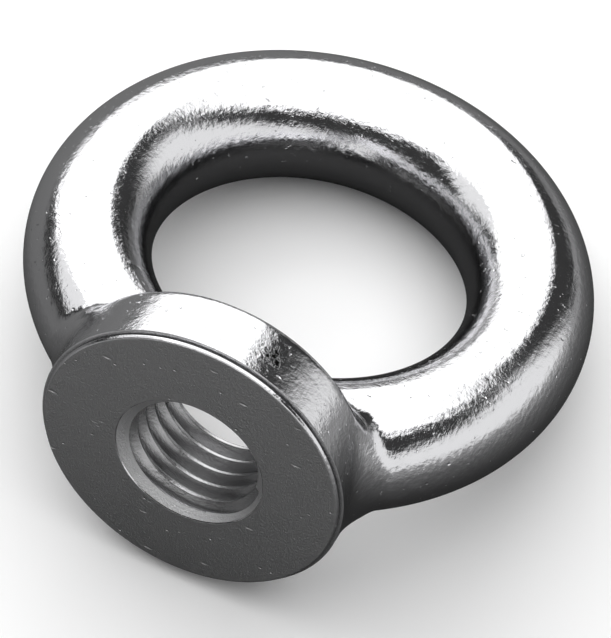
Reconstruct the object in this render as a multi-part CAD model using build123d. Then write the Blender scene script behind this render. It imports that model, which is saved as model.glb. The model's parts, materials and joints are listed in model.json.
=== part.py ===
from build123d import *
from math import asin, atan2, cos, degrees, hypot, radians, sin, tan
import os

# Lifting eye nut, M24: a drop-forged ring on a tapped collar, one piece of steel.
# It is modelled with the thread axis along Z and the bearing face at Z = 0, the
# ring standing in the XZ plane, and at the end it is laid on its side, where it
# comes to rest on its collar and on the crown of its ring.

# ---- driving dimensions, mm ----
thread_size = 24.0            # M24, coarse thread
thread_pitch = 3.0
eye_diameter = 50.0           # clear eye
ring_wire = 20.0              # section of the ring, from the eye outwards
ring_thickness = 21.0         # section of the ring across its plane
collar_diameter = 50.0        # bearing face
collar_wall = 11.0            # height of the collar's side wall
shoulder_slope = 15.0         # forging draft of the shoulder behind the wall, degrees
blend_radius = 4.0            # forged blend from ring to collar
face_chamfer = 0.8            # turned edge round the bearing face
shoulder_round = 1.6          # rounded edge behind the wall
tap_chamfer_diameter = 24.4   # 90 degree lead-in of the thread
exit_break = 0.4              # broken edge where the thread runs out into the eye

# ---- sizes that follow ----
wire_r = ring_wire / 2
wire_half = ring_thickness / 2
ring_r = (eye_diameter + ring_wire) / 2
ring_z = ring_r + wire_r                # the ring's outside is level with the bearing face
overall_height = ring_z + ring_r + wire_r
collar_r = collar_diameter / 2
bore_r = (thread_size - 1.0825 * thread_pitch) / 2      # crest of the nut's thread
tap_chamfer_r = tap_chamfer_diameter / 2
chamfer_depth = tap_chamfer_r - bore_r


def collar():
    """The turned and forged collar: half its profile, spun round the thread axis."""
    apex_z = collar_wall + collar_r * tan(radians(shoulder_slope))
    with BuildPart() as p:
        with BuildSketch(Plane.XZ) as s:
            with BuildLine():
                Polyline((0, 0), (collar_r, 0), (collar_r, collar_wall), (0, apex_z), (0, 0))
            make_face()
            corner = s.vertices().sort_by(Axis.X)[-2:].sort_by(Axis.Y)
            chamfer(corner[0], face_chamfer)
            fillet(corner[1], shoulder_round)
        revolve(axis=Axis.Z)
    return p.part


def ring():
    """The ring, standing in the XZ plane: its oval section spun round the eye's centre.

    Its foot ends inside the collar, clear of the bearing face.
    """
    section = Plane.YZ * Pos(0, ring_z + ring_r) * Ellipse(wire_half, wire_r)
    hoop = revolve(section, Axis((0, 0, ring_z), (0, 1, 0)))
    below = Pos(0, 0, face_chamfer) * Box(2 * overall_height, 2 * overall_height, overall_height,
                                          align=(Align.CENTER, Align.CENTER, Align.MAX))
    return hoop - below


def forging():
    """Ring and collar flow into one another over a wide forged blend."""
    body = collar() + ring()
    seam = [e for e in body.edges()
            if e.geom_type not in (GeomType.CIRCLE, GeomType.LINE)
            and e.bounding_box().max.Z < ring_z / 2]
    return fillet(seam, blend_radius)


def tapping_tool():
    """What the drill and the countersink take away, at the crest of the thread."""
    with BuildPart() as p:
        with BuildSketch(Plane.XZ) as s:
            with BuildLine():
                Polyline((0, -1), (tap_chamfer_r + 1, -1), (bore_r, chamfer_depth),
                         (bore_r, ring_z), (0, ring_z), (0, -1))
            make_face()
        revolve(axis=Axis.Z)
    return p.part


def tapped(body):
    """The forging with its hole, and the hole's far edge broken where it meets the eye."""
    body = body - tapping_tool()
    wall = body.faces().filter_by(GeomType.CYLINDER).sort_by(lambda f: f.radius)[0]
    run_out = [e for e in wall.edges() if e.geom_type not in (GeomType.CIRCLE, GeomType.LINE)]
    return chamfer(run_out, exit_break)


# Where the floor meets the collar: the centre of the rounded edge behind its wall.
edge_z = collar_wall - shoulder_round * tan(radians(45 - shoulder_slope / 2))
edge_y = collar_r - shoulder_round


def reach(toward_axis, toward_side):
    """How far the ring's section reaches from its centre, in a direction given by its parts."""
    return hypot(wire_r * toward_axis, wire_half * toward_side)


def rest_tilt():
    """Angle of the thread axis to the floor when the nut lies on its side.

    One flat floor touches the rounded edge behind the collar's wall and the ring's
    oval section at the crown. The section's reach changes a little with the angle,
    so the angle is found in a few rounds.
    """
    run = ring_z + ring_r - edge_z
    tilt = 0.0
    for _ in range(20):
        below = shoulder_round - reach(sin(tilt), cos(tilt))
        tilt = atan2(edge_y, run) + asin(below / hypot(run, edge_y))
    return degrees(tilt)


def laid_down(part, tilt):
    """Turn the upright nut onto its side and set it on the floor.

    The thread axis then runs along +Y, dipping by the tilt, and the origin is
    below the middle of the nut, on the floor.
    """
    s, c = sin(radians(tilt)), cos(radians(tilt))
    height = edge_y * c + edge_z * s + shoulder_round
    front = -(collar_r - face_chamfer) * s
    back = (ring_z + ring_r) * c + reach(c, s)
    return Pos(0, -(front + back) / 2, height) * Rot(-90 - tilt, 0, 0) * part


eye_nut = laid_down(tapped(forging()), rest_tilt())

os.makedirs("parts", exist_ok=True)
export_step(eye_nut, "parts/eye_nut.step")
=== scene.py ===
# %% [markdown]
# # A drop-forged lifting eye nut, M24
# A thick steel ring grows out of a flat round collar with a threaded hole, and
# the whole nut is one piece of steel. It was forged between two dies, tumbled
# bright and plated with zinc. After that a lathe faced its collar, and a tap cut
# its thread. The lesson follows the same order: first the forging, then the
# machining, then the finish, and last the light.

# %% Load the frame
import json
import math
import bmesh
import bpy
import numpy as np
from mathutils import Matrix, Vector


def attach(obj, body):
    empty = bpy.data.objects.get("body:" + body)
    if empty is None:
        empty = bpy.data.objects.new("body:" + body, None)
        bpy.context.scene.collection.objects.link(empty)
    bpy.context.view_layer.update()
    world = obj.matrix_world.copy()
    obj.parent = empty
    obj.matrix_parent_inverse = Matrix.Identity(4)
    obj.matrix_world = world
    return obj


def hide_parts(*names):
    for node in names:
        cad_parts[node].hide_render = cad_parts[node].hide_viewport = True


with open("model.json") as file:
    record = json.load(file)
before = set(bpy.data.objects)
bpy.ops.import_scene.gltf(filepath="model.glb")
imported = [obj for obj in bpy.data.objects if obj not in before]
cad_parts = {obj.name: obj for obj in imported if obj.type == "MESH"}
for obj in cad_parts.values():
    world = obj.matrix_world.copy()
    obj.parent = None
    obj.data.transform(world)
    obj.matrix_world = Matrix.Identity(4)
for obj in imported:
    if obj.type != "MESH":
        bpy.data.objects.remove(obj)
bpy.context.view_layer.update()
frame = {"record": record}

# %% [markdown]
# ## Working upright, placing it lying down
# The nut lies on its side, so its thread axis dips a little. Turning tools are
# easier to think about with the axis upright, so every shape is drawn upright in
# millimetres, with the bearing face at zero, and one matrix lays it down. The
# matrix comes from the nut's own mounts, so it always agrees with the frame.

# %% The matrix that lays the nut down
mounts = {m["name"]: m for m in frame["record"]["mounts"]}
thread, eye = mounts["thread"], mounts["eye"]
WALL_MIDDLE = 11.84         # mm, bearing face to the middle of the hole's wall

out_of_face = Vector(thread["axis"]).normalized()
into_nut = -out_of_face
across = Vector((1, 0, 0))
away = into_nut.cross(across)
face_centre = Vector(thread["pos_m"]) + out_of_face * WALL_MIDDLE / 1000
turn = Matrix((across, away, into_nut)).transposed()
lay_down = Matrix.Translation(face_centre) @ turn.to_4x4() @ Matrix.Scale(0.001, 4)
print("thread axis dips", round(math.degrees(math.asin(out_of_face.z)), 2), "degrees")

# %% Sizes of the forging, mm
RING_WIRE = 10.0                            # half the ring's section, from the eye outwards
RING_HALF = eye["dims"]["length_mm"] / 2    # half the section, across the ring
RING_R = eye["dims"]["r_mm"] + RING_WIRE    # centre of the eye to the section's middle
RING_Z = RING_R + RING_WIRE                 # bearing face to the centre of the eye
COLLAR_R = 25.0
COLLAR_WALL = 11.0
SHOULDER_SLOPE = math.radians(15)           # of the shoulder behind the wall
SHOULDER_ROUND = 1.6
BLEND = 4.0                                 # forged blend between ring and collar
ALLOWANCE = 0.6                             # steel left for the lathe to take off
print("ring, mm: middle", RING_R, "half section", RING_WIRE, "by", RING_HALF)


# %% [markdown]
# ## The forging: two spun shapes
# A ring is a section spun round the eye's centre, and a collar is half a profile
# spun round the thread axis. Both are bmesh spins. A torus primitive would give
# only a round section, and the real one is a little oval.

# %% Ring and collar, rough
def spun(bm, verts, edges, centre, axis, steps):
    """Spin an outline once round and close the seam."""
    bmesh.ops.spin(bm, geom=verts + edges, cent=centre, axis=axis, angle=2 * math.pi,
                   steps=steps, use_merge=True)


def outline(bm, points):
    """A chain of edges through points given as (radius, height), in the XZ plane."""
    verts = [bm.verts.new((r, 0, z)) for r, z in points]
    return verts, [bm.edges.new(pair) for pair in zip(verts, verts[1:])]


def finished(bm, name):
    """Merge doubles, turn the faces outwards and make a mesh object of it."""
    bmesh.ops.remove_doubles(bm, verts=bm.verts, dist=1e-4)
    bmesh.ops.recalc_face_normals(bm, faces=bm.faces)
    mesh = bpy.data.meshes.new(name)
    bm.to_mesh(mesh)
    bm.free()
    obj = bpy.data.objects.new(name, mesh)
    bpy.context.scene.collection.objects.link(obj)
    return obj


EYE_CENTRE, FACE_CENTRE = (0, 0, RING_Z), (0, 0, 0)
THROUGH_EYE, THREAD_AXIS = (0, 1, 0), (0, 0, 1)

bm = bmesh.new()
section = bmesh.ops.create_circle(bm, segments=64, radius=1)["verts"]
bmesh.ops.scale(bm, verts=section, vec=(RING_WIRE, RING_HALF, 1))
bmesh.ops.translate(bm, verts=section, vec=(RING_R, 0, RING_Z))
spun(bm, section, list(bm.edges), EYE_CENTRE, THROUGH_EYE, steps=180)

apex = COLLAR_WALL + COLLAR_R * math.tan(SHOULDER_SLOPE)
verts, edges = outline(bm, [(0, -ALLOWANCE), (COLLAR_R, -ALLOWANCE),
                            (COLLAR_R, COLLAR_WALL), (0, apex)])
spun(bm, verts, edges, FACE_CENTRE, THREAD_AXIS, steps=160)
forging = finished(bm, "eye_nut_forged")
print("rough shapes:", len(forging.data.polygons), "faces")


# %% [markdown]
# ## The forged blend
# In the die the metal flows, so ring and collar meet in a wide hollow and not in
# a crease. A bevel can't follow a seam that comes from two overlapping shapes.
# Instead a voxel remesh grows one skin over both, and then every point of that
# skin slides onto the exact surface: the distance to the ring, the distance to
# the collar, and a round hollow where both are near. It keeps ring and collar
# true and gives the hollow its radius.

# %% One skin over both
def apply_modifiers(obj):
    """Bake the modifiers into the mesh."""
    graph = bpy.context.evaluated_depsgraph_get()
    mesh = bpy.data.meshes.new_from_object(obj.evaluated_get(graph))
    obj.modifiers.clear()
    old, obj.data = obj.data, mesh
    bpy.data.meshes.remove(old)


skin = forging.modifiers.new("Skin", "REMESH")
skin.mode = "VOXEL"
skin.voxel_size = 0.6       # mm, well under the shoulder's rounding
skin.use_smooth_shade = True
apply_modifiers(forging)
print("skin:", len(forging.data.polygons), "faces")


# %% How far a point is from the forging
def off_forging(p):
    """Signed distance in mm from points p to the forging's surface."""
    x, y, z = p.T
    out = np.hypot(x, z - RING_Z) - RING_R
    oval = np.maximum(np.hypot(out / RING_WIRE, y / RING_HALF), 1e-6)
    ring = np.hypot(out, y) * (1 - 1 / oval)

    wall = np.hypot(x, y) - COLLAR_R
    shoulder = (z - COLLAR_WALL) * math.cos(SHOULDER_SLOPE) + wall * math.sin(SHOULDER_SLOPE)
    rounded = np.hypot(np.maximum(SHOULDER_ROUND + wall, 0),
                       np.maximum(SHOULDER_ROUND + shoulder, 0))
    collar = np.minimum(-SHOULDER_ROUND, np.maximum(wall, shoulder)) + rounded
    collar = np.maximum(collar, -(z + ALLOWANCE))

    hollow = np.hypot(np.maximum(BLEND - ring, 0), np.maximum(BLEND - collar, 0))
    return np.maximum(BLEND, np.minimum(ring, collar)) - hollow


def points_of(mesh):
    """The mesh's points as an array."""
    p = np.empty(3 * len(mesh.vertices))
    mesh.vertices.foreach_get("co", p)
    return p.reshape(-1, 3)


def slide_on(mesh, distance, rounds):
    """Slide every point straight onto the surface where distance is zero."""
    step, flattest = 0.01, 0.05     # mm to feel the slope by, and the least slope squared
    p = points_of(mesh)
    for _ in range(rounds):
        slope = np.stack([(distance(p + h) - distance(p - h)) / (2 * step)
                          for h in np.eye(3) * step], axis=1)
        steepness = np.maximum((slope ** 2).sum(1), flattest)
        p = p - (distance(p) / steepness)[:, None] * slope
    mesh.vertices.foreach_set("co", p.ravel())
    mesh.update()
    return float(np.abs(distance(p)).max())


SMOOTHINGS = 4              # they even out the voxel steps before each slide
for _ in range(2):
    bm = bmesh.new()
    bm.from_mesh(forging.data)
    for _ in range(SMOOTHINGS):
        bmesh.ops.smooth_vert(bm, verts=bm.verts, factor=0.5,
                              use_axis_x=True, use_axis_y=True, use_axis_z=True)
    bm.to_mesh(forging.data)
    bm.free()
    left = slide_on(forging.data, off_forging, 4)
print("skin is within", round(left, 3), "mm of the forging's surface")


# %% [markdown]
# ## Machining: facing, drilling, tapping
# The lathe faces the collar and turns its edge. The drill opens the hole, a
# countersink leads the bolt in, and a tap cuts the thread. Each tool is a spun
# solid, and a boolean takes it away, so the thread runs out into the eye just as
# it does on the real nut. The tap is one thread profile, spun once round and
# raised by one pitch, so its end meets its own start.

# %% The facing tool
# It leaves three things round the face, each as (radius, height): a rounded rim,
# a groove behind the rim, and a step that runs out through the wall.
TOOL_R, TOOL_DEPTH = 34, 4
RIM = [(23.9, 0), (24.14, 0.05), (24.33, 0.17), (24.45, 0.36), (24.49, 0.56)]
GROOVE = [(24.40, 0.64), (24.00, 0.76), (24.00, 0.94), (24.75, 1.02)]
STEP = [(25.4, 1.30), (TOOL_R, 1.45)]

bm = bmesh.new()
face_edge = [(0, 0)] + RIM + GROOVE + STEP
verts, edges = outline(bm, [(0, -TOOL_DEPTH), (TOOL_R, -TOOL_DEPTH)] + face_edge[::-1])
spun(bm, verts, edges, FACE_CENTRE, THREAD_AXIS, steps=240)
facing_tool = finished(bm, "facing_tool")
print("facing tool:", len(facing_tool.data.polygons), "faces")

# %% The countersink: a 90 degree cone with a rounded mouth
BORE_R = thread["dims"]["r_mm"]     # crest of the nut's thread
LEAD_IN_R = 12.2                    # mouth of the cone
CONE_START, CONE_DEPTH = -2, 4
# each as (radius past the mouth's, height)
MOUTH = [(0.6, CONE_START), (0.22, -0.01), (0.08, 0.04), (-0.05, 0.15)]

bm = bmesh.new()
cone = [(LEAD_IN_R + past, z) for past, z in MOUTH + [(0.1 - CONE_DEPTH, CONE_DEPTH)]]
verts, edges = outline(bm, [(0, CONE_START)] + cone + [(0, CONE_DEPTH)])
spun(bm, verts, edges, FACE_CENTRE, THREAD_AXIS, steps=120)
countersink = finished(bm, "countersink")
print("countersink:", len(countersink.data.polygons), "faces")

# %% One turn of the thread, as (radius, height)
THREAD_R = 12.0             # root of the nut's thread
PITCH = 3.0
EASE = 0.12                 # the flanks are eased into crest and root over this depth
ONE_TURN = [(BORE_R, 0), (BORE_R, 0.40), (BORE_R + EASE, 0.56),
            (THREAD_R - EASE, 1.47), (THREAD_R, 1.62), (THREAD_R, 1.78),
            (THREAD_R - EASE, 1.93), (BORE_R + EASE, 2.84)]

# %% The tap
TURNS, STEPS_ROUND = 12, 120
TAP_START = -6.5            # it starts in front of the face and ends in the eye
TAP_MIDDLE, TAP_HALF = 13.5, 22

bm = bmesh.new()
profile = [(r, TAP_START + k * PITCH + z) for k in range(TURNS) for r, z in ONE_TURN]
verts, edges = outline(bm, profile + [(BORE_R, TAP_START + TURNS * PITCH)])
bmesh.ops.spin(bm, geom=verts + edges, cent=FACE_CENTRE, axis=THREAD_AXIS, angle=2 * math.pi,
               steps=STEPS_ROUND, dvec=(0, 0, PITCH / STEPS_ROUND), use_merge=False)
bmesh.ops.remove_doubles(bm, verts=bm.verts, dist=1e-4)
for end in (-1, 1):         # draw each end together to a point, which closes the solid
    brim = [e for e in bm.edges if e.is_boundary and end * (e.verts[0].co.z - TAP_MIDDLE) > 0]
    tip = bmesh.ops.extrude_edge_only(bm, edges=brim)["geom"]
    tip = [v for v in tip if isinstance(v, bmesh.types.BMVert)]
    bmesh.ops.pointmerge(bm, verts=tip, merge_co=(0, 0, TAP_MIDDLE + end * TAP_HALF))
tap = finished(bm, "tap")
heights = points_of(tap.data)[:, 2]
print("tap:", len(tap.data.polygons), "faces, from",
      round(heights.min(), 2), "to", round(heights.max(), 2), "mm")


# %% Cut
def cut(obj, tool):
    """Take the tool's solid away."""
    step = obj.modifiers.new("Cut", "BOOLEAN")
    step.operation = "DIFFERENCE"
    step.solver = "MANIFOLD"
    step.object = tool
    apply_modifiers(obj)
    bpy.data.objects.remove(tool)


for tool in (facing_tool, countersink, tap):
    cut(forging, tool)
bm = bmesh.new()
bm.from_mesh(forging.data)
bmesh.ops.remove_doubles(bm, verts=bm.verts, dist=1e-3)
bmesh.ops.dissolve_degenerate(bm, dist=1e-3, edges=bm.edges)
open_edges = sum(not e.is_manifold for e in bm.edges)
bm.to_mesh(forging.data)
bm.free()
print("machined:", len(forging.data.polygons), "faces,", open_edges, "open edges")

# %% [markdown]
# ## Which tool made each face
# Each tool leaves its own surface, so every face is given the finish of the tool
# that made it, from its radius, its height and the way it looks. The rim of the
# face and the mouth of the hole are worn bright, so they shine like the forging.
# The groove is as dark and bare as the thread.

# %% Sort the faces
FORGED, FACED, TAPPED, SUNK = range(4)
BORE_ZONE = (LEAD_IN_R + 0.05, 26)              # within this radius, below this height
MOUTH_ZONE = (12.05, 0.13)                      # outside this radius, below this height
EDGE_R, RIM_R, GROOVE_R = 24.5, 24.05, 23.9
RIM_TOP, FACE_TOP, GROOVE_TOP, CONE_TOP = 0.62, 0.66, 1.0, 1.95


def finish_at(face):
    """The finish of one face."""
    r = math.hypot(face.center.x, face.center.y)
    z = face.center.z
    looks = face.normal.z           # -1 for a face that looks straight out of the collar
    in_bore = r < BORE_ZONE[0] and z < BORE_ZONE[1]
    worn_mouth = in_bore and r > MOUTH_ZONE[0] and z < MOUTH_ZONE[1]
    worn_rim = RIM_R < r < EDGE_R and z < RIM_TOP
    if worn_mouth or worn_rim:
        return FORGED
    if GROOVE_R < r < EDGE_R and RIM_TOP < z < GROOVE_TOP:
        return TAPPED
    if in_bore:
        on_cone = z < CONE_TOP and looks < -0.6 and r > BORE_R + 0.1
        return SUNK if on_cone else TAPPED
    return FACED if r < EDGE_R and z < FACE_TOP and looks < -0.3 else FORGED


finish_of = [finish_at(face) for face in forging.data.polygons]
print("faces by finish:", [finish_of.count(k) for k in range(4)])

# %% Keep the machined edges sharp, even out the rest, and lay the nut down
forging.data.shade_smooth()
forging.data.set_sharp_from_angle(angle=math.radians(24))
even = forging.modifiers.new("Even", "WEIGHTED_NORMAL")
even.keep_sharp = True
even.weight = 80
apply_modifiers(forging)
forging.data.transform(lay_down)
print("laid down:", len(forging.data.vertices), "points")


# %% [markdown]
# ## Finish
# Zinc on tumbled steel is a bright metal with a soft orange-peel skin from the
# forging under it, a few pits where scale was pressed in, and small knocks from
# the tumbling barrel. The faced collar is a darker grey and duller, because the
# lathe opened fresh steel that was never tumbled or plated.

# %% Helpers for colours and nodes
def linear(hex_colour):
    """An sRGB hex colour as the linear values that the shader wants."""
    out = []
    for i in (0, 2, 4):
        c = int(hex_colour[i:i + 2], 16) / 255
        out.append(c / 12.92 if c <= 0.04045 else ((c + 0.055) / 1.055) ** 2.4)
    return (*out, 1.0)


def add(tree, kind, inputs=(), **settings):
    """Add a node, set its options, and fill or link its inputs."""
    node = tree.nodes.new(kind)
    for name, value in settings.items():
        setattr(node, name, value)
    for name, value in dict(inputs).items():
        if isinstance(value, bpy.types.NodeSocket):
            tree.links.new(value, node.inputs[name])
        else:
            node.inputs[name].default_value = value
    return node


def new_metal(name, colour, roughness):
    """A metal material, its shader and its Object coordinates in millimetres."""
    material = bpy.data.materials.new(name)
    material.use_nodes = True
    tree = material.node_tree
    shader = tree.nodes["Principled BSDF"]
    shader.inputs["Base Color"].default_value = linear(colour)
    shader.inputs["Metallic"].default_value = 1.0
    shader.inputs["Roughness"].default_value = roughness
    where = add(tree, "ShaderNodeTexCoord")
    mm = add(tree, "ShaderNodeMapping", {"Vector": where.outputs["Object"],
                                         "Scale": (1000, 1000, 1000)})
    return material, tree, shader, mm.outputs["Vector"]


# %% Helpers for relief, marks and wear
def relief(tree, shader, layers):
    """Bumps on top of one another: (height, strength, depth in mm, pressed in)."""
    below = None
    for height, strength, depth, pressed in layers:
        layer = add(tree, "ShaderNodeBump", {"Height": height, "Strength": strength,
                                             "Distance": depth / 1000}, invert=pressed)
        if below:
            tree.links.new(below, layer.inputs["Normal"])
        below = layer.outputs["Normal"]
    tree.links.new(below, shader.inputs["Normal"])


def knocks(tree, mm, spacing, stretch, turned, width, share):
    """Scattered short marks: 1 inside a mark and 0 elsewhere.

    The spacing is in mm along the marks, which lie closer across them, as many
    times as stretch says. Width is half a mark's width as a share of its cell, and
    share is how many of the cells have a mark.
    """
    squash = (1 / spacing, stretch / spacing, stretch / spacing)
    flat = add(tree, "ShaderNodeMapping", {"Vector": mm, "Rotation": (0.5, 0.3, turned),
                                           "Scale": squash})
    cells = add(tree, "ShaderNodeTexVoronoi", {"Vector": flat.outputs["Vector"], "Scale": 1.0})
    near = add(tree, "ShaderNodeMapRange", {"Value": cells.outputs["Distance"],
                                            "From Min": width, "From Max": 0.0})
    chosen = add(tree, "ShaderNodeMath", {0: cells.outputs["Color"], 1: share},
                 operation="LESS_THAN")
    return add(tree, "ShaderNodeMath", {0: near.outputs["Result"], 1: chosen.outputs["Value"]},
               operation="MULTIPLY").outputs["Value"]


def tinted(tree, shader, mask, marked):
    """Change the base colour where the mask is 1."""
    plain = shader.inputs["Base Color"]
    tint = add(tree, "ShaderNodeMixRGB", {"Fac": mask, "Color1": plain.default_value,
                                          "Color2": linear(marked)})
    tree.links.new(tint.outputs["Color"], plain)


def worn(tree, shader, noise, noise_range, roughness_range):
    """Let the roughness follow a noise."""
    wear = add(tree, "ShaderNodeMapRange", {"Value": noise, "From Min": noise_range[0],
                                            "From Max": noise_range[1],
                                            "To Min": roughness_range[0],
                                            "To Max": roughness_range[1]})
    tree.links.new(wear.outputs["Result"], shader.inputs["Roughness"])


# %% [markdown]
# ### The forged skin
# Tumbled zinc is nearly a mirror. Its orange peel has bumps about 2 mm apart and
# a few hundredths of a millimetre deep, so it only shows where a reflection ends.
# Finer grain, rare pits and small knocks lie on top. In one place on the collar's
# wall scale was pressed in, and it left a rough dark patch. The coordinates are
# in millimetres, so a noise's Scale is its number of bumps per millimetre.

# %% Tumbled zinc on the forging
zinc, tree, shader, mm = new_metal("tumbled_zinc_on_forged_steel", "D4D4D6", 0.08)
peel = add(tree, "ShaderNodeTexNoise", {"Vector": mm, "Scale": 0.5, "Detail": 4.0,
                                        "Roughness": 0.6}).outputs["Fac"]
grain = add(tree, "ShaderNodeTexNoise", {"Vector": mm, "Scale": 1.3, "Detail": 4.0,
                                         "Roughness": 0.6}).outputs["Fac"]
spots = add(tree, "ShaderNodeTexNoise", {"Vector": mm, "Scale": 1.0, "Detail": 2.0})
pits = add(tree, "ShaderNodeMapRange", {"Value": spots.outputs["Fac"], "From Min": 0.71,
                                        "From Max": 0.75}).outputs["Result"]
dents = knocks(tree, mm, spacing=3.2, stretch=2.4, turned=0.7, width=0.2, share=0.2)
worn(tree, shader, peel, (0.35, 0.65), (0.08, 0.15))

# %% The patch where scale was pressed in
ON_WALL = Vector((8.05, -23.67, 5.34))      # mm, on the upright nut
scale_spot = lay_down @ ON_WALL * 1000
off_spot = add(tree, "ShaderNodeVectorMath", {0: mm, 1: scale_spot}, operation="DISTANCE")
around = add(tree, "ShaderNodeMapRange", {"Value": off_spot.outputs["Value"], "From Min": 3.0,
                                          "From Max": 1.2, "To Max": 0.36})
crumbs = add(tree, "ShaderNodeMath", {0: grain, 1: around.outputs["Result"]}, operation="ADD")
pitted = add(tree, "ShaderNodeMapRange", {"Value": crumbs.outputs["Value"], "From Min": 0.83,
                                          "From Max": 0.91}).outputs["Result"]
tinted(tree, shader, pitted, "585858")
relief(tree, shader, [(peel, 0.2, 0.3, False), (grain, 0.35, 0.15, False),
                      (pits, 0.6, 0.15, True), (dents, 0.5, 0.2, True),
                      (pitted, 1.0, 0.3, True)])

# %% [markdown]
# ### The machined surfaces
# Fresh steel from the lathe is duller than the zinc, because its fine turning
# marks scatter the light. They are too fine to see, so a grit of about 0.4 mm
# stands for them. The face has bright nicks and small specks from handling. The
# countersink is torn a little, every 0.3 mm or so, and the tap leaves a chatter of
# about 0.5 mm.

# %% The faced collar
faced, tree, shader, mm = new_metal("lathe_faced_steel", "AAAAAB", 0.42)
grit = add(tree, "ShaderNodeTexNoise", {"Vector": mm, "Scale": 2.6, "Detail": 4.0,
                                        "Roughness": 0.7}).outputs["Fac"]
nicks = knocks(tree, mm, spacing=6.0, stretch=3.0, turned=0.9, width=0.15, share=0.5)
specks = knocks(tree, mm, spacing=2.6, stretch=1.4, turned=0.2, width=0.12, share=0.5)
worn(tree, shader, grit, (0.3, 0.7), (0.3, 0.48))
tinted(tree, shader, nicks, "E8E8E8")
relief(tree, shader, [(grit, 0.9, 0.2, False), (nicks, 0.7, 0.3, True),
                      (specks, 1.0, 0.4, True)])

# %% The countersink
sunk, tree, shader, mm = new_metal("countersunk_steel", "D6D6D7", 0.42)
tears = add(tree, "ShaderNodeTexNoise", {"Vector": mm, "Scale": 3.4, "Detail": 3.0,
                                         "Roughness": 0.7}).outputs["Fac"]
relief(tree, shader, [(tears, 1.0, 0.2, False)])

# %% The cut thread
tapped, tree, shader, mm = new_metal("tapped_steel", "B4B4B5", 0.27)
chatter = add(tree, "ShaderNodeTexNoise", {"Vector": mm, "Scale": 2.0, "Detail": 4.0,
                                           "Roughness": 0.65}).outputs["Fac"]
relief(tree, shader, [(chatter, 0.6, 0.12, False)])

# %% Give each face its finish
forging.data.materials.clear()
for finish in (zinc, faced, tapped, sunk):
    forging.data.materials.append(finish)
forging.data.polygons.foreach_set("material_index", finish_of)
print("finishes:", [material.name for material in forging.data.materials])

# %% [markdown]
# ## The nut stands in for its CAD node
# The finished piece rides on the only body and takes the CAD node's place. The
# plain solid stays hidden for collision.

# %% Ride and replace
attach(forging, "root")
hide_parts("eye_nut")
print("piece:", len(forging.data.polygons), "faces")


# %% [markdown]
# ## Floor and studio
# Bright metal shows only what stands round it, so the light is built from the
# directions that the metal should show. A round soft box hangs overhead and fills
# everything steeper than about 50 degrees. A wide one stands behind and to the
# left, and a dimmer one at the left. The room round them is dark, and pale only
# low down at the front right. The floor is white and carries the shadow. A dark
# card lies on it, and only reflections see it: it keeps the lower flanks of the
# metal dark. Its greys are painted: painted shade, darkest under the nut, and
# painted light, paler towards the back left.

# %% Floor
def matt(name, colour):
    """A plain matt material for the floor or a card."""
    material = bpy.data.materials.new(name)
    material.use_nodes = True
    shader = material.node_tree.nodes["Principled BSDF"]
    shader.inputs["Base Color"].default_value = linear(colour)
    shader.inputs["Roughness"].default_value = 0.9
    shader.inputs["Specular IOR Level"].default_value = 0.1
    return material


def square(name, half_side, height):
    """A flat square that lies at a height, all in metres."""
    bm = bmesh.new()
    bmesh.ops.create_grid(bm, x_segments=1, y_segments=1, size=half_side)
    bmesh.ops.translate(bm, verts=bm.verts, vec=(0, 0, height))
    return finished(bm, name)


floor = square("floor", 3, 0)
floor.data.materials.append(matt("white_floor", "FAFAFA"))
print("floor:", floor.dimensions.x, "m wide")

# %% The dark card, which only reflections see, with painted shade and painted light
# each grey stands at a distance in metres from the nut's middle; the darkest, nearest the nut,
# are painted shade under it
GREYS = [(0.045, "3E3E3E"), (0.065, "525252"), (0.085, "606060"), (0.12, "747474"),
         (0.22, "A8A8A8")]
NUT_MIDDLE = (0.01, 0.0, 0.0)
# the card turns paler towards the back left, where the soft boxes stand: painted light
BACK_LEFT = (-0.85, 0.53, 0.0)
BACK_LEFT_PAINTED_LIGHT = 0.15                       # even and linear, from 0.07 m on

card = square("black_card", 2.9, 0.0003)
shade_painted_card = matt("black_card", GREYS[0][1])
tree = shade_painted_card.node_tree
place = add(tree, "ShaderNodeTexCoord").outputs["Object"]
far = add(tree, "ShaderNodeVectorMath", {0: place, 1: NUT_MIDDLE}, operation="DISTANCE")
paler = add(tree, "ShaderNodeValToRGB", {"Fac": far.outputs["Value"]})
ramp = paler.color_ramp.elements
ramp.remove(ramp[1])
ramp[0].position = GREYS[0][0]
ramp[0].color = linear(GREYS[0][1])
for distance, grey in GREYS[1:]:
    ramp.new(distance).color = linear(grey)
# painted light: the card is paler on its back-left side, towards the soft boxes
side = add(tree, "ShaderNodeVectorMath", {0: place, 1: BACK_LEFT}, operation="DOT_PRODUCT")
lit = add(tree, "ShaderNodeMapRange", {"Value": side.outputs["Value"], "From Min": 0.045,
                                       "From Max": 0.07, "To Min": paler.outputs["Color"],
                                       "To Max": BACK_LEFT_PAINTED_LIGHT})
tree.links.new(lit.outputs["Result"], tree.nodes["Principled BSDF"].inputs["Base Color"])
card.data.materials.append(shade_painted_card)
for ray in ("camera", "diffuse", "shadow", "transmission"):
    setattr(card, "visible_" + ray, False)
print("card:", len(ramp), "greys")


# %% Soft boxes
def soft_box(name, brightness, shape, size, azimuth, elevation, distance):
    """An area light that faces the nut, with sizes in mm and its direction in degrees."""
    lamp = bpy.data.lights.new(name, "AREA")
    lamp.shape = shape
    lamp.size, lamp.size_y = size[0] / 1000, size[1] / 1000
    area = lamp.size * lamp.size_y * (math.pi / 4 if shape == "ELLIPSE" else 1)
    lamp.energy = brightness * math.pi * area
    a, e = math.radians(azimuth), math.radians(elevation)
    towards = Vector((math.sin(a) * math.cos(e), math.cos(a) * math.cos(e), math.sin(e)))
    obj = bpy.data.objects.new(name, lamp)
    obj.matrix_world = (Matrix.Translation(towards * distance / 1000)
                        @ towards.to_track_quat("Z", "Y").to_matrix().to_4x4())
    bpy.context.scene.collection.objects.link(obj)


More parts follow.
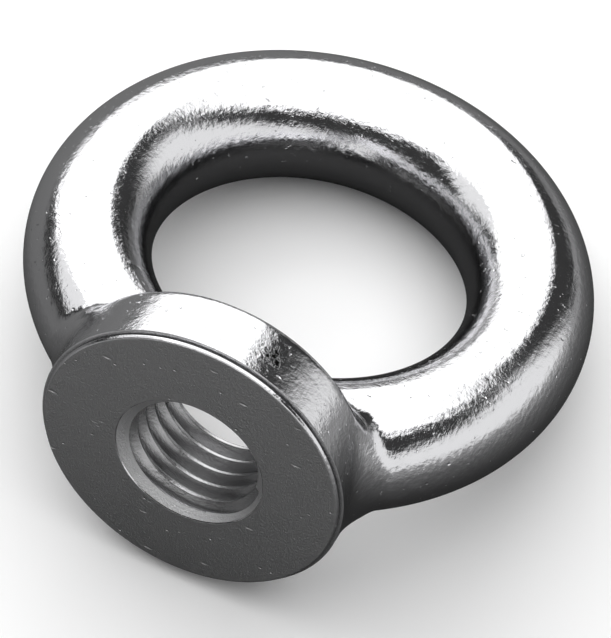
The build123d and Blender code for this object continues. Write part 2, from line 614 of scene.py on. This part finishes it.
soft_box("overhead", 1.75, "ELLIPSE", (880, 880), -30, 84, 520)
soft_box("behind", 1.75, "RECTANGLE", (900, 560), -34, 30, 640)
soft_box("left", 1.1, "RECTANGLE", (480, 440), -90, 36, 640)
print("soft boxes:", [lamp.name for lamp in bpy.data.lights])

# %% The room
DARK_ROOM, PALE_BAND = 0.05, 1.1
FRONT_RIGHT = (0.843, -0.537, 0.0)
NEARLY_UP = (0.0, -0.14, 1.0)       # the band's upper edge is a little tilted

world = bpy.data.worlds.new("studio_room")
bpy.context.scene.world = world
world.use_nodes = True
tree = world.node_tree
look = add(tree, "ShaderNodeTexCoord").outputs["Generated"]
height = add(tree, "ShaderNodeVectorMath", {0: look, 1: NEARLY_UP}, operation="DOT_PRODUCT")
low = add(tree, "ShaderNodeMapRange", {"Value": height.outputs["Value"], "From Min": 0.56,
                                       "From Max": 0.45}, interpolation_type="SMOOTHSTEP")
side = add(tree, "ShaderNodeVectorMath", {0: look, 1: FRONT_RIGHT}, operation="DOT_PRODUCT")
front = add(tree, "ShaderNodeMapRange", {"Value": side.outputs["Value"], "From Min": -0.05,
                                         "From Max": 0.27}, interpolation_type="SMOOTHSTEP")
band = add(tree, "ShaderNodeMath", {0: low.outputs["Result"], 1: front.outputs["Result"]},
           operation="MULTIPLY")
glow = add(tree, "ShaderNodeMapRange", {"Value": band.outputs["Value"], "To Min": DARK_ROOM,
                                        "To Max": PALE_BAND})
background = tree.nodes["Background"]
background.inputs["Color"].default_value = (1, 1, 1, 1)
tree.links.new(glow.outputs["Result"], background.inputs["Strength"])

# %% [markdown]
# ## Camera
# A long lens looks down steeply from in front of the collar and a little to its
# right, and is tilted a few degrees sideways, as a hand-held camera is.

# %% Camera
AZIMUTH, ELEVATION, ROLL = 19.62, 58.12, 6.76       # degrees
DISTANCE, LENS, SENSOR = 768.0, 278.2, 36           # mm
LOOK_AT = Vector((2.70, -4.87, 16.59)) / 1000

az, el, roll = (math.radians(v) for v in (AZIMUTH, ELEVATION, ROLL))
back = Vector((math.sin(az) * math.cos(el), -math.cos(az) * math.cos(el), math.sin(el)))
right = (-back).cross(Vector((0, 0, 1))).normalized()
up = right.cross(-back)
right, up = (math.cos(roll) * right + math.sin(roll) * up,
             math.cos(roll) * up - math.sin(roll) * right)
camera_data = bpy.data.cameras.new("camera")
camera_data.lens = LENS
camera_data.sensor_width = SENSOR
camera_data.clip_start = 0.01
camera = bpy.data.objects.new("camera", camera_data)
camera.matrix_world = Matrix.Translation(LOOK_AT + back * DISTANCE / 1000) @ Matrix(
    (right, up, back)).transposed().to_4x4()
bpy.context.scene.collection.objects.link(camera)
bpy.context.scene.camera = camera
bpy.context.scene.view_settings.view_transform = "Standard"
print("camera:", DISTANCE, "mm away, with a lens of", LENS, "mm")
